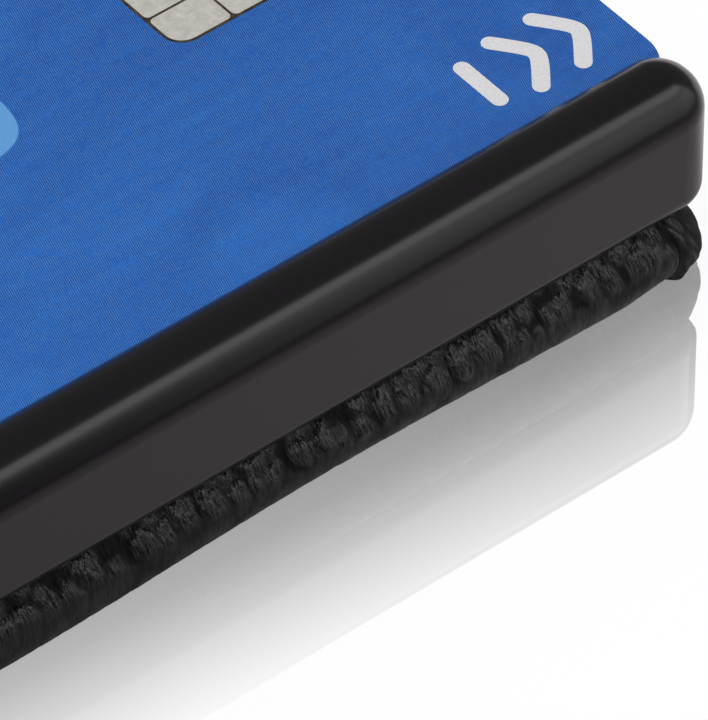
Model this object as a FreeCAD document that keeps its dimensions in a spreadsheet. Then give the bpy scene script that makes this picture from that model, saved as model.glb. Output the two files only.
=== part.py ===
import FreeCAD, Part
import math
import os

import Sketcher

# A folding card wallet, lying open on its back, in millimetres.
# Origin: on the floor under the middle of the spine.
# +X runs from the spine towards the free end of the half that holds the cards.
# +Y runs across the wallet, away from the near rail.  +Z is up.
# The card cage stands on the back half; the front half closes over it in two
# folds, one along each edge of the spine.

SIZES = [
    # alias, value, what it is
    ("card_length", 85.60, "payment card, along X"),
    ("card_width", 53.98, "payment card, along Y"),
    ("card_thick", 0.76, "payment card"),
    ("card_corner", 2.88, "radius of the card's corners"),
    ("chip_length", 10.60, "contact module, along X"),
    ("chip_width", 8.00, "contact module, along Y"),
    ("chip_depth", 0.55, "how deep the module sits in the card"),
    ("chip_corner", 1.20, "radius of the module's corners"),
    ("chip_from_end", 9.76, "card's end to the module"),
    ("chip_from_side", 18.62, "card's near side to the module"),
    ("rail_width", 5.30, "rail, across"),
    ("rail_height", 9.00, "rail, foot to crown"),
    ("rail_end_radius", 2.60, "rounding of the rail's ends in plan"),
    ("rail_crown_radius", 2.50, "rounding along the rail's top"),
    ("rail_foot_radius", 1.20, "rounding along the rail's foot"),
    ("rail_lap", 2.00, "how far a rail's lip reaches over the card"),
    ("rail_skirt", 1.25, "outer wall left below the tray's flange"),
    ("rail_back", 0.80, "cover's spine edge to the rails"),
    ("crown_rise", 1.50, "top of the rails above the card"),
    ("card_top_gap", 0.08, "card's face to the lip"),
    ("card_side_gap", 0.15, "card's side to the rail's wall"),
    ("card_end_gap", 0.20, "card's end to the stop"),
    ("card_set_back", 0.25, "free end of the card, back from the cage's"),
    ("tray_floor", 1.20, "floor of the card tray"),
    ("tray_inset", 0.60, "each end of the tray, back from the rails' ends"),
    ("tray_corner", 2.60, "radius of the tray's corners"),
    ("stop_thick", 1.20, "end stop of the tray"),
    ("stop_side_gap", 0.10, "end stop to each rail"),
    ("stop_back", 1.80, "cover's spine edge to the end stop"),
    ("plate_thick", 1.00, "pressure plate"),
    ("plate_gap", 0.06, "card's back to the pressure plate"),
    ("plate_side_gap", 0.15, "pressure plate to each rail's wall"),
    ("plate_end_inset", 0.80, "free end of the plate, back from the card's end"),
    ("plate_corner", 1.50, "radius of the plate's corners"),
    ("plate_lead", 0.60, "bevel that leads the cards in"),
    ("plate_travel", 3.60, "how far the plate goes down when the cage is full"),
    ("lug_length", 4.00, "guide lug of the plate, along X"),
    ("lug_reach", 1.00, "how far a lug reaches into the rail"),
    ("lug_gap", 0.15, "lug to its groove"),
    ("lug_inset", 24.00, "card's end to the middle of a lug"),
    ("strip_width", 9.00, "lift spring, across"),
    ("strip_thick", 0.30, "lift spring"),
    ("strip_span", 58.00, "length of a spring's bow"),
    ("strip_foot", 7.00, "flat foot of a spring"),
    ("strip_gap", 0.05, "top of the bow to the plate"),
    ("strip_offset", 13.00, "middle of the tray to a spring"),
    ("screw_radius", 0.60, "rail screw's shank"),
    ("screw_head_radius", 1.00, "rail screw's head"),
    ("screw_head_height", 0.40, "rail screw's countersunk head"),
    ("screw_length", 5.00, "rail screw, under its head"),
    ("screw_offset", 1.00, "card's side to the screws"),
    ("screw_inset", 12.00, "rail's end to the last screw"),
    ("rivet_radius", 1.20, "tray rivet's shank"),
    ("rivet_head_radius", 2.50, "tray rivet's head"),
    ("rivet_head_height", 0.50, "tray rivet's head"),
    ("rivet_tail_radius", 2.10, "tray rivet's rolled tail"),
    ("rivet_tail_height", 0.60, "tray rivet's rolled tail"),
    ("rivet_offset", 21.00, "middle of the tray to the rivets"),
    ("rivet_inset", 10.00, "tray's end to the rivets"),
    ("stud_radius", 0.90, "spring rivet's shank"),
    ("stud_head_radius", 1.60, "spring rivet's head"),
    ("stud_head_height", 0.40, "spring rivet's head"),
    ("cover_thick", 5.00, "padded cover"),
    ("cover_corner", 4.50, "radius of the cover's free corners"),
    ("cover_edge_radius", 2.40, "half-round of the cover's edge"),
    ("cover_margin", 0.85, "leather outside the rails, each side"),
    ("leather_thick", 1.10, "cover leather"),
    ("lining_thick", 0.80, "lining"),
    ("board_thick", 1.60, "stiffener in each cover"),
    ("core_inset", 1.60, "cover's edge to its foam and board"),
    ("turn_in", 3.20, "width of the turned-in leather border"),
    ("foam_hole_gap", 0.30, "rivet's tail to the hole in the foam"),
    ("closing_gap", 1.60, "rails to the front cover when closed"),
    ("crease_gap", 0.30, "each crease to the cover beside it"),
    ("spine_thick", 2.40, "spine, through leather, board and lining"),
    ("spine_edge_radius", 1.15, "rounding of the spine's two ends"),
    ("spine_relief", 0.15, "each crease to the spine beside it"),
    ("spine_board_thick", 0.70, "stiffener in the spine"),
    ("spine_board_inset", 1.30, "spine's creases to its board"),
    ("pocket_thick", 1.00, "note pocket's leather"),
    ("pocket_inset_x", 4.50, "cover's free end to the pocket"),
    ("pocket_mouth", 9.00, "cover's spine edge to the pocket's mouth"),
    ("pocket_side_gap", 1.20, "rails' lips to the pocket when closed"),
    ("pocket_corner", 2.00, "radius of the pocket's closed corners"),
    ("thumb_radius", 9.00, "thumb notch in the pocket's mouth"),
    ("thumb_offset", 3.00, "centre of the notch outside the mouth"),
]


class Size:
    """A length with its present value and the expression that ties it to the sheet."""

    def __init__(self, value, text):
        self.value = value
        self.text = text

    def __add__(self, other):
        other = as_size(other)
        return Size(self.value + other.value, f"({self.text} + {other.text})")

    def __sub__(self, other):
        other = as_size(other)
        return Size(self.value - other.value, f"({self.text} - {other.text})")

    def __mul__(self, other):
        other = as_size(other)
        return Size(self.value * other.value, f"({self.text} * {other.text})")

    def __truediv__(self, other):
        other = as_size(other)
        return Size(self.value / other.value, f"({self.text} / {other.text})")

    def __neg__(self):
        return Size(-self.value, f"(-1 * {self.text})")


def as_size(number):
    return number if isinstance(number, Size) else Size(float(number), f"{float(number):.6g}")


def make_sheet(doc):
    sheet = doc.addObject("Spreadsheet::Sheet", "Sizes")
    for row, (alias, value, note) in enumerate(SIZES, start=1):
        sheet.set(f"A{row}", alias)
        sheet.set(f"B{row}", f"{value:g}")
        sheet.set(f"C{row}", note)
        sheet.setAlias(f"B{row}", alias)
    doc.recompute()
    return {alias: Size(float(sheet.get(alias)), f"Sizes.{alias}") for alias, _, _ in SIZES}


doc = FreeCAD.newDocument("wallet")
S = make_sheet(doc)


# ---------------------------------------------------------------- drawing helpers


def bind(item, name, size):
    """Sets one property of an object from the sheet."""
    item.setExpression(name, as_size(size).text)


def place(item, x, y, z):
    bind(item, "Placement.Base.x", x)
    bind(item, "Placement.Base.y", y)
    bind(item, "Placement.Base.z", z)


def new_body(label, x=0, y=0, z=0):
    body = doc.addObject("PartDesign::Body", label)
    body.Label = label
    place(body, x, y, z)
    return body


def new_sketch(body, name, height=0, role="XY_Plane"):
    """A sketch on one of the body's own planes, moved along its normal by height."""
    sketch = body.newObject("Sketcher::SketchObject", f"{body.Name}_{name}")
    plane = next(p for p in body.Origin.OriginFeatures if p.Role == role)
    sketch.AttachmentSupport = [(plane, "")]
    sketch.MapMode = "FlatFace"
    bind(sketch, "AttachmentOffset.Base.z", height)
    return sketch


def fix_point(sketch, geometry, end, x, y):
    """Holds a point of the sketch at sizes measured from the sketch's origin."""
    for kind, size in (("DistanceX", x), ("DistanceY", y)):
        size = as_size(size)
        index = sketch.addConstraint(
            Sketcher.Constraint(kind, -1, 1, geometry, end, size.value)
        )
        sketch.setExpression(f"Constraints[{index}]", size.text)


def heading(start, end):
    """Unit step, along the sketch's X or Y, from one corner to the next."""
    dx = end[0].value - start[0].value
    dy = end[1].value - start[1].value
    if abs(dx) > abs(dy):
        return (math.copysign(1, dx), 0)
    return (0, math.copysign(1, dy))


def moved(corner, step, radius):
    return (corner[0] + radius * step[0], corner[1] + radius * step[1])


def vector(point):
    return FreeCAD.Vector(point[0].value, point[1].value, 0)


def draw_loop(sketch, corners):
    """Draws a closed loop of runs along X and Y. A corner is (x, y) or (x, y, radius)."""
    corners = [tuple(as_size(v) for v in corner) for corner in corners]
    count = len(corners)
    runs = []
    for i, corner in enumerate(corners):
        after = corners[(i + 1) % count]
        step = heading(corner, after)
        start = moved(corner, step, corner[2]) if len(corner) == 3 else corner
        back = (-step[0], -step[1])
        end = moved(after, back, after[2]) if len(after) == 3 else after
        line = sketch.addGeometry(Part.LineSegment(vector(start), vector(end)), False)
        fix_point(sketch, line, 1, start[0], start[1])
        fix_point(sketch, line, 2, end[0], end[1])
        runs.append((line, start, end, step))
    for i, corner in enumerate(corners):
        if len(corner) == 3:
            draw_corner(sketch, runs[i - 1], runs[i])


def draw_corner(sketch, before, after):
    """A tangent arc from the end of one run to the start of the next."""
    line, _, start, step = before
    next_line, end, _, next_step = after
    turn = step[0] * next_step[1] - step[1] * next_step[0]
    half = math.sqrt(0.5)
    first, last = vector(start), vector(end)
    along = FreeCAD.Vector(step[0], step[1], 0)
    across = FreeCAD.Vector(next_step[0], next_step[1], 0)
    radius = (last - first).Length * half
    middle = first + along * (radius * half) + across * (radius * (1 - half))
    arc = sketch.addGeometry(Part.Arc(first, middle, last), False)
    # Sketch arcs always run anticlockwise, so a right turn ends where the arc starts.
    near_end, far_end = (1, 2) if turn > 0 else (2, 1)
    sketch.addConstraint(Sketcher.Constraint("Tangent", line, 2, arc, near_end))
    sketch.addConstraint(Sketcher.Constraint("Coincident", arc, far_end, next_line, 1))


def draw_rectangle(sketch, x0, x1, y0, y1, near=None, far=None):
    """A rectangle; near and far round its corners at x0 and at x1."""

    def corner(x, y, radius):
        return (x, y) if radius is None else (x, y, radius)

    draw_loop(
        sketch,
        [corner(x0, y0, near), corner(x1, y0, far), corner(x1, y1, far), corner(x0, y1, near)],
    )


def draw_circle(sketch, x, y, radius):
    x, y, radius = as_size(x), as_size(y), as_size(radius)
    centre = FreeCAD.Vector(x.value, y.value, 0)
    circle = sketch.addGeometry(
        Part.Circle(centre, FreeCAD.Vector(0, 0, 1), radius.value), False
    )
    fix_point(sketch, circle, 3, x, y)
    index = sketch.addConstraint(Sketcher.Constraint("Radius", circle, radius.value))
    sketch.setExpression(f"Constraints[{index}]", radius.text)


def pad(body, sketch, length):
    """Raises a sketch by length along its own normal."""
    feature = body.newObject("PartDesign::Pad", f"{sketch.Name}_pad")
    feature.Profile = sketch
    bind(feature, "Length", length)
    sketch.Visibility = False
    doc.recompute()
    return feature


def pocket(body, sketch, depth):
    """Cuts a sketch downwards, against its own normal."""
    before = body.Shape.Volume
    feature = body.newObject("PartDesign::Pocket", f"{sketch.Name}_pocket")
    feature.Profile = sketch
    bind(feature, "Length", depth)
    doc.recompute()
    if body.Shape.Volume > before - 1e-6:
        raise RuntimeError(f"{feature.Name} cuts nothing")
    return feature


def cut_box(body, name, x, y, z):
    """Cuts a rectangular space out of a body. x, y and z are (low, high)."""
    sketch = new_sketch(body, name, z[1])
    draw_rectangle(sketch, x[0], x[1], y[0], y[1])
    return pocket(body, sketch, as_size(z[1]) - z[0])


def round_edges(body, name, radius, chosen):
    """Rounds the edges of a body's tip whose centre passes the chosen test."""
    tip = body.Tip
    names = [
        f"Edge{i}"
        for i, edge in enumerate(tip.Shape.Edges, start=1)
        if chosen(edge.CenterOfMass)
    ]
    feature = body.newObject("PartDesign::Fillet", f"{body.Name}_{name}")
    feature.Base = (tip, names)
    bind(feature, "Radius", radius)
    doc.recompute()
    return feature


def near_to(value, size):
    return abs(value - as_size(size).value) < 0.01


def span(one, other):
    """Two sizes, the lower one first."""
    return (one, other) if one.value < other.value else (other, one)


def cylinder(name, radius, height, x, y, z):
    item = doc.addObject("Part::Cylinder", name)
    bind(item, "Radius", radius)
    bind(item, "Height", height)
    place(item, x, y, z)
    return item


def cone(name, low_radius, high_radius, height, x, y, z):
    item = doc.addObject("Part::Cone", name)
    bind(item, "Radius1", low_radius)
    bind(item, "Radius2", high_radius)
    bind(item, "Height", height)
    place(item, x, y, z)
    return item


def fuse(name, pieces):
    item = doc.addObject("Part::MultiFuse", name)
    item.Shapes = pieces
    return item


def group(label, pieces):
    """Identical fasteners as one sub-part, each a solid of its own."""
    item = doc.addObject("Part::Compound", label)
    item.Label = label
    item.Links = pieces
    return item


# ---------------------------------------------------------------- shared places

# Spine and covers, along X.  The back half lies at +X, the front half at -X.
spine_width = (
    S["cover_thick"] * 2 + S["rail_height"] + S["closing_gap"] - S["spine_thick"] * 2
)
crease_x = spine_width / 2
cover_x0 = crease_x + S["crease_gap"]
card_run = S["card_end_gap"] + S["card_length"] + S["card_set_back"]
free_x1 = cover_x0 + S["stop_back"] + S["stop_thick"] + card_run
card_x1 = free_x1 - S["card_set_back"]
card_x0 = card_x1 - S["card_length"]

# Across, along Y, measured from the middle.
card_side = S["card_width"] / 2
rail_wall = S["rail_width"] - S["rail_lap"]
rail_outer = card_side + rail_wall
lip_edge = card_side - S["rail_lap"]
channel_side = card_side + S["card_side_gap"]
cover_side = rail_outer + S["cover_margin"]
flange_side = rail_outer - S["rail_skirt"]

# Up, along Z, from the floor.
tray_z0 = S["cover_thick"]
floor_z = tray_z0 + S["tray_floor"]
crown_z = tray_z0 + S["rail_height"]
card_z1 = crown_z - S["crown_rise"]
card_z0 = card_z1 - S["card_thick"]
lip_z = card_z1 + S["card_top_gap"]
plate_z1 = card_z0 - S["plate_gap"]
plate_z0 = plate_z1 - S["plate_thick"]

# Layers of a cover, from the floor up.
lining_z = S["cover_thick"] - S["lining_thick"]
board_z = lining_z - S["board_thick"]
foam_thick = board_z - S["leather_thick"]

# Where the plate's lugs, the rivets and the screws stand, along X.
lug_places = [card_x0 + S["lug_inset"], card_x1 - S["lug_inset"]]
rail_x0 = cover_x0 + S["rail_back"]
rail_length = free_x1 - rail_x0
tray_x1 = free_x1 - S["tray_inset"]
rivet_places = [
    (x, S["rivet_offset"] * side)
    for x in (rail_x0 + S["rivet_inset"], tray_x1 - S["rivet_inset"])
    for side in (-1, 1)
]
screw_places = [
    (x, (card_side + S["screw_offset"]) * side)
    for x in (rail_x0 + S["screw_inset"], rail_x0 + rail_length / 2, free_x1 - S["screw_inset"])
    for side in (-1, 1)
]
strip_x0 = (card_x0 + card_x1 - S["strip_span"] - S["strip_foot"]) / 2
stud_places = [
    (strip_x0 + S["strip_foot"] / 2, S["strip_offset"] * side) for side in (-1, 1)
]


# ---------------------------------------------------------------- covers


def draw_cover_outline(sketch, side, inset, corner):
    """The outline of a cover half, drawn in by inset; side is +1 back, -1 front."""
    draw_rectangle(
        sketch,
        (cover_x0 + inset) * side,
        (free_x1 - inset) * side,
        -cover_side + inset,
        cover_side - inset,
        far=corner,
    )


def cover_leather(label, side):
    """Outer leather: flat on the floor, half-round at its free edges, turned in on top."""
    body = new_body(label)
    outline = new_sketch(body, "outline")
    draw_cover_outline(outline, side, as_size(0), S["cover_corner"])
    pad(body, outline, S["cover_thick"])

    def free_edge(centre):
        level = near_to(centre.z, 0) or near_to(centre.z, S["cover_thick"])
        return level and not near_to(centre.x, cover_x0 * side)

    round_edges(body, "edge", S["cover_edge_radius"], free_edge)
    hollow = new_sketch(body, "hollow", lining_z)
    draw_cover_outline(hollow, side, S["core_inset"], S["cover_corner"] - S["core_inset"])
    pocket(body, hollow, lining_z - S["leather_thick"])
    window = new_sketch(body, "window", S["cover_thick"])
    draw_cover_outline(window, side, S["turn_in"], S["cover_corner"] - S["turn_in"])
    pocket(body, window, S["lining_thick"])
    return body


def cover_layer(label, side, inset, height, thick):
    """A flat layer inside a cover."""
    body = new_body(label, z=height)
    outline = new_sketch(body, "outline")
    draw_cover_outline(outline, side, inset, S["cover_corner"] - inset)
    pad(body, outline, thick)
    return body


def cut_holes(body, name, places, radius, top, depth):
    """Round holes cut downwards from the level top of the body's own frame."""
    sketch = new_sketch(body, name, top)
    for x, y in places:
        draw_circle(sketch, x, y, radius)
    pocket(body, sketch, depth)


def cover_half(prefix, side):
    return [
        cover_leather(f"{prefix}_cover_leather", side),
        cover_layer(f"{prefix}_cover_foam", side, S["core_inset"], S["leather_thick"], foam_thick),
        cover_layer(f"{prefix}_cover_board", side, S["core_inset"], board_z, S["board_thick"]),
        cover_layer(f"{prefix}_cover_lining", side, S["turn_in"], lining_z, S["lining_thick"]),
    ]


def back_half():
    leather, foam, board, lining = cover_half("back", 1)
    tail_hole = S["rivet_tail_radius"] + S["foam_hole_gap"]
    cut_holes(foam, "tails", rivet_places, tail_hole, foam_thick, foam_thick)
    cut_holes(board, "shanks", rivet_places, S["rivet_radius"], S["board_thick"], S["board_thick"])
    cut_holes(lining, "shanks", rivet_places, S["rivet_radius"], S["lining_thick"], S["lining_thick"])
    return [leather, foam, board, lining]


def note_pocket():
    """Leather panel on the front lining, sewn on three sides, open towards the spine."""
    body = new_body("note_pocket", z=S["cover_thick"])
    mouth = -(cover_x0 + S["pocket_mouth"])
    end = -(free_x1 - S["pocket_inset_x"])
    half = lip_edge - S["pocket_side_gap"]
    outline = new_sketch(body, "outline")
    draw_rectangle(outline, mouth, end, -half, half, far=S["pocket_corner"])
    pad(body, outline, S["pocket_thick"])
    notch = new_sketch(body, "thumb", S["pocket_thick"])
    draw_circle(notch, mouth + S["thumb_offset"], 0, S["thumb_radius"])
    pocket(body, notch, S["pocket_thick"])
    return body


# ---------------------------------------------------------------- spine


def spine_leather():
    """Strip between the creases, its two ends rounded and turned in."""
    half = crease_x - S["spine_relief"]
    body = new_body("spine_leather")
    outline = new_sketch(body, "outline")
    draw_rectangle(outline, -half, half, -cover_side, cover_side)
    pad(body, outline, S["spine_thick"])

    def end_edge(centre):
        return near_to(abs(centre.y), cover_side) and near_to(centre.x, 0)

    round_edges(body, "edge", S["spine_edge_radius"], end_edge)
    cut_box(
        body,
        "recess",
        (-half, half),
        (-cover_side + S["turn_in"], cover_side - S["turn_in"]),
        (S["leather_thick"], S["spine_thick"]),
    )
    return body


def spine_layer(label, inset, height, thick):
    half = crease_x - S["spine_relief"] - inset
    side = cover_side - S["turn_in"]
    body = new_body(label, z=height)
    outline = new_sketch(body, "outline")
    draw_rectangle(outline, -half, half, -side, side)
    pad(body, outline, thick)
    return body


def spine():
    board_top = S["leather_thick"] + S["spine_board_thick"]
    board = spine_layer(
        "spine_board", S["spine_board_inset"], S["leather_thick"], S["spine_board_thick"]
    )
    lining = spine_layer("spine_lining", as_size(0), board_top, S["spine_thick"] - board_top)
    return [spine_leather(), board, lining]


# ---------------------------------------------------------------- card cage


def rail(label, side):
    """A rail over one long side of the card: side is -1 near, +1 far."""
    body = new_body(label, x=rail_x0, z=tray_z0)
    inner = lip_edge * side
    outline = new_sketch(body, "outline")
    draw_rectangle(
        outline,
        0,
        rail_length,
        *span(inner, rail_outer * side),
        near=S["rail_end_radius"],
        far=S["rail_end_radius"],
    )
    pad(body, outline, S["rail_height"])
    round_edges(body, "crown", S["rail_crown_radius"], lambda c: near_to(c.z, S["rail_height"]))
    round_edges(body, "foot", S["rail_foot_radius"], lambda c: near_to(c.z, 0))

    # Each cut runs from a wall of the rail out past its inner side.
    beyond = S["rail_width"]
    open_side = inner - beyond * side
    open_end = rail_length + beyond
    bay = (S["tray_floor"], lip_z - tray_z0)

    # The channel that the cards slide in, closed at the spine end.
    channel_x0 = card_x0 - S["card_end_gap"] - rail_x0
    cut_box(body, "channel", (channel_x0, open_end), span(channel_side * side, open_side), bay)
    # The rebate that the tray's flange fits.
    cut_box(
        body,
        "rebate",
        (-beyond, open_end),
        span(flange_side * side, open_side),
        (-S["tray_floor"], S["tray_floor"]),
    )
    # Grooves that guide the pressure plate's lugs.
    groove = (channel_side + S["lug_reach"] + S["lug_gap"] - S["plate_side_gap"]) * side
    half = S["lug_length"] / 2 + S["lug_gap"]
    for number, x in enumerate(lug_places, start=1):
        middle = x - rail_x0
        cut_box(
            body,
            f"groove_{number}",
            (middle - half, middle + half),
            span(groove, open_side),
            bay,
        )
    holes = new_sketch(body, "holes", S["screw_length"] + S["screw_head_height"])
    for x, y in screw_places:
        if y.value * side > 0:
            draw_circle(holes, x - rail_x0, y, S["screw_radius"])
    pocket(body, holes, S["screw_length"] + S["screw_head_height"] - S["tray_floor"])
    return body


def card_tray():
    """Floor between the rails, flanged under them, with the end stop for the cards."""
    body = new_body("card_tray", x=rail_x0, z=tray_z0)
    start = S["tray_inset"]
    end = tray_x1 - rail_x0
    floor = new_sketch(body, "floor")
    draw_rectangle(
        floor, start, end, -flange_side, flange_side, near=S["tray_corner"], far=S["tray_corner"]
    )
    pad(body, floor, S["tray_floor"])
    stop_x1 = card_x0 - S["card_end_gap"] - rail_x0
    stop_side = lip_edge - S["stop_side_gap"]
    stop = new_sketch(body, "stop")
    draw_rectangle(stop, stop_x1 - S["stop_thick"], stop_x1, -stop_side, stop_side)
    pad(body, stop, card_z1 - tray_z0)
    local = [(x - rail_x0, y) for x, y in rivet_places]
    cut_holes(body, "rivets", local, S["rivet_radius"], S["tray_floor"], S["tray_floor"])
    local = [(x - rail_x0, y) for x, y in stud_places]
    cut_holes(body, "studs", local, S["stud_radius"], S["tray_floor"], S["tray_floor"])
    local = [(x - rail_x0, y) for x, y in screw_places]
    cut_holes(body, "screws", local, S["screw_radius"], S["tray_floor"], S["tray_floor"])
    for number, (x, y) in enumerate(local, start=1):
        sink = body.newObject("PartDesign::SubtractiveCone", f"sink_{number}")
        bind(sink, "Radius1", S["screw_head_radius"])
        bind(sink, "Radius2", S["screw_radius"])
        bind(sink, "Height", S["screw_head_height"])
        bind(sink, "AttachmentOffset.Base.x", x)
        bind(sink, "AttachmentOffset.Base.y", y)
        plane = next(p for p in body.Origin.OriginFeatures if p.Role == "XY_Plane")
        sink.AttachmentSupport = [(plane, "")]
        sink.MapMode = "FlatFace"
    return body


def rail_screws():
    pieces = []
    for number, (x, y) in enumerate(screw_places, start=1):
        head = cone(
            f"screw_head_{number}",
            S["screw_head_radius"],
            S["screw_radius"],
            S["screw_head_height"],
            x,
            y,
            tray_z0,
        )
        shank = cylinder(
            f"screw_shank_{number}",
            S["screw_radius"],
            S["screw_length"],
            x,
            y,
            tray_z0 + S["screw_head_height"],
        )
        pieces.append(fuse(f"screw_{number}", [head, shank]))
    return group("rail_screws", pieces)


def headed_pins(name, places, radius, head, low, high, tail=None):
    """Pins from low to high, with a head on top and a tail below; each is (radius, height)."""
    pins = []
    for number, (x, y) in enumerate(places, start=1):
        pieces = [
            cylinder(f"{name}_shank_{number}", radius, high - low, x, y, low),
            cylinder(f"{name}_head_{number}", head[0], head[1], x, y, high),
        ]
        if tail:
            bottom = low - tail[1]
            pieces.append(cylinder(f"{name}_tail_{number}", tail[0], tail[1], x, y, bottom))
        pins.append(fuse(f"{name}_{number}", pieces))
    return pins


def tray_rivets():
    head = (S["rivet_head_radius"], S["rivet_head_height"])
    tail = (S["rivet_tail_radius"], S["rivet_tail_height"])
    pins = headed_pins("rivet", rivet_places, S["rivet_radius"], head, board_z, floor_z, tail)
    return group("tray_rivets", pins)


def spring_rivets():
    head = (S["stud_head_radius"], S["stud_head_height"])
    top = floor_z + S["strip_thick"]
    return group(
        "spring_rivets", headed_pins("stud", stud_places, S["stud_radius"], head, tray_z0, top)
    )


def draw_line(sketch, start, end):
    line = sketch.addGeometry(Part.LineSegment(vector(start), vector(end)), False)
    fix_point(sketch, line, 1, start[0], start[1])
    fix_point(sketch, line, 2, end[0], end[1])
    return line


def draw_bow(sketch, start, end, rise):
    """An arc that rises from start to a middle height and comes down to end."""
    span_x = end[0] - start[0]
    radius = (rise * rise + span_x * span_x / 4) / (rise * 2)
    top = (start[0] + span_x / 2, start[1] + rise)
    arc = sketch.addGeometry(Part.Arc(vector(start), vector(top), vector(end)), False)
    # The arc runs anticlockwise, so its first end is the one at end.
    fix_point(sketch, arc, 2, start[0], start[1])
    fix_point(sketch, arc, 1, end[0], end[1])
    index = sketch.addConstraint(Sketcher.Constraint("Radius", arc, radius.value))
    sketch.setExpression(f"Constraints[{index}]", radius.text)


def lift_spring(label, side):
    """A bowed strip: its foot is riveted to the tray and its bow carries the plate."""
    foot = S["strip_foot"]
    thick = S["strip_thick"]
    end = foot + S["strip_span"]
    rise = plate_z0 - floor_z - S["strip_gap"] - thick
    edge = S["strip_offset"] * side + S["strip_width"] / 2
    body = new_body(label, x=strip_x0, y=edge, z=floor_z)
    profile = new_sketch(body, "profile", role="XZ_Plane")
    zero = as_size(0)
    draw_line(profile, (zero, zero), (foot, zero))
    draw_bow(profile, (foot, zero), (end, zero), rise)
    draw_line(profile, (end, zero), (end, thick))
    draw_bow(profile, (foot, thick), (end, thick), rise)
    draw_line(profile, (foot, thick), (zero, thick))
    draw_line(profile, (zero, thick), (zero, zero))
    pad(body, profile, S["strip_width"])
    stud = [(foot / 2, -(S["strip_width"] / 2))]
    cut_holes(body, "stud", stud, S["stud_radius"], thick, thick)
    return body


def pressure_plate():
    """Carries the cards; four lugs in the rails' grooves let it move only up and down."""
    body = new_body("pressure_plate", x=card_x0, z=plate_z0)
    side = channel_side - S["plate_side_gap"]
    end = S["card_length"] - S["plate_end_inset"]
    outline = new_sketch(body, "outline")
    draw_rectangle(outline, 0, end, -side, side, near=S["plate_corner"])
    pad(body, outline, S["plate_thick"])
    half = S["lug_length"] / 2
    reach = side + S["lug_reach"]
    for number, x in enumerate(lug_places, start=1):
        lug = new_sketch(body, f"lugs_{number}")
        middle = x - card_x0
        draw_rectangle(lug, middle - half, middle + half, -reach, reach)
        pad(body, lug, S["plate_thick"])
    tip = body.Tip
    lead = body.newObject("PartDesign::Chamfer", "lead_in")
    names = [
        f"Edge{i}"
        for i, edge in enumerate(tip.Shape.Edges, start=1)
        if near_to(edge.CenterOfMass.z, S["plate_thick"]) and near_to(edge.CenterOfMass.x, end)
    ]
    lead.Base = (tip, names)
    bind(lead, "Size", S["plate_lead"])
    return body


# ---------------------------------------------------------------- card


def payment_card():
    body = new_body("payment_card", x=card_x0, z=card_z0)
    outline = new_sketch(body, "outline")
    draw_rectangle(
        outline,
        0,
        S["card_length"],
        -card_side,
        card_side,
        near=S["card_corner"],
        far=S["card_corner"],
    )
    pad(body, outline, S["card_thick"])
    seat = new_sketch(body, "chip_seat", S["card_thick"])
    draw_chip(seat)
    pocket(body, seat, S["chip_depth"])
    return body


def draw_chip(sketch):
    x1 = S["card_length"] - S["chip_from_end"]
    y0 = -card_side + S["chip_from_side"]
    draw_rectangle(
        sketch,
        x1 - S["chip_length"],
        x1,
        y0,
        y0 + S["chip_width"],
        near=S["chip_corner"],
        far=S["chip_corner"],
    )


def card_chip():
    body = new_body("card_chip", x=card_x0, z=card_z1 - S["chip_depth"])
    outline = new_sketch(body, "outline")
    draw_chip(outline)
    pad(body, outline, S["chip_depth"])
    return body


# ---------------------------------------------------------------- build and write

nodes = [
    *back_half(),
    *cover_half("front", -1),
    note_pocket(),
    *spine(),
    card_tray(),
    rail("near_rail", -1),
    rail("far_rail", 1),
    rail_screws(),
    tray_rivets(),
    spring_rivets(),
    lift_spring("near_lift_spring", -1),
    lift_spring("far_lift_spring", 1),
    pressure_plate(),
    payment_card(),
    card_chip(),
]
doc.recompute()

for item in doc.Objects:
    if "Invalid" in item.State or "Error" in item.State:
        raise RuntimeError(f"{item.Label} did not build: {item.State}")
for node in nodes:
    if node.Shape.isNull() or not node.Shape.isValid():
        raise RuntimeError(f"{node.Label} has no valid shape")

os.makedirs("parts", exist_ok=True)
for node in nodes:
    node.Shape.exportStep(f"parts/{node.Label}.step")
    print(f"{node.Label}: {len(node.Shape.Solids)} solid(s), {node.Shape.Volume:.1f} mm3")
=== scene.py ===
import math
from functools import partial, reduce

import bmesh
import bpy
import numpy as np
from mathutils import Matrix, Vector


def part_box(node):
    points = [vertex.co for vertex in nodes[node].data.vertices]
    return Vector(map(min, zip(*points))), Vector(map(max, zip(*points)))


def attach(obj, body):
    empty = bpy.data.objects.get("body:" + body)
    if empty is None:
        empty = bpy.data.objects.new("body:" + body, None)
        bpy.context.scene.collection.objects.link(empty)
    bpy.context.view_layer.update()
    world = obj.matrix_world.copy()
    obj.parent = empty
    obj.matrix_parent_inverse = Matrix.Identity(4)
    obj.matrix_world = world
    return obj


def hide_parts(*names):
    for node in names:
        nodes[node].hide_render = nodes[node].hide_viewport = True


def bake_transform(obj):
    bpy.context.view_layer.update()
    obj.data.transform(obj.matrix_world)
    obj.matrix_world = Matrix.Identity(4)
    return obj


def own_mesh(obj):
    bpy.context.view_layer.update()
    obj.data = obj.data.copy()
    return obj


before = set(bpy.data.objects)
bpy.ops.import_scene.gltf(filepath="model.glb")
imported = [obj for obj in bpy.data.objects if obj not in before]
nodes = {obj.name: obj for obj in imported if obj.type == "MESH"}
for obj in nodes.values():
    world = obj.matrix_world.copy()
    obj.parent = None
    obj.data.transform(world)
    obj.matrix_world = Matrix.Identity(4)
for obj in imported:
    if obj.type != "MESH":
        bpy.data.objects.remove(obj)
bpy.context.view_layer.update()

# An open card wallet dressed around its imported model.  Lengths in this file are in
# millimetres unless a comment says otherwise, and become metres when a mesh is made.
# +X runs to the free end of the half that holds the card, +Y away from the near
# rail, +Z up from the floor.

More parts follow.
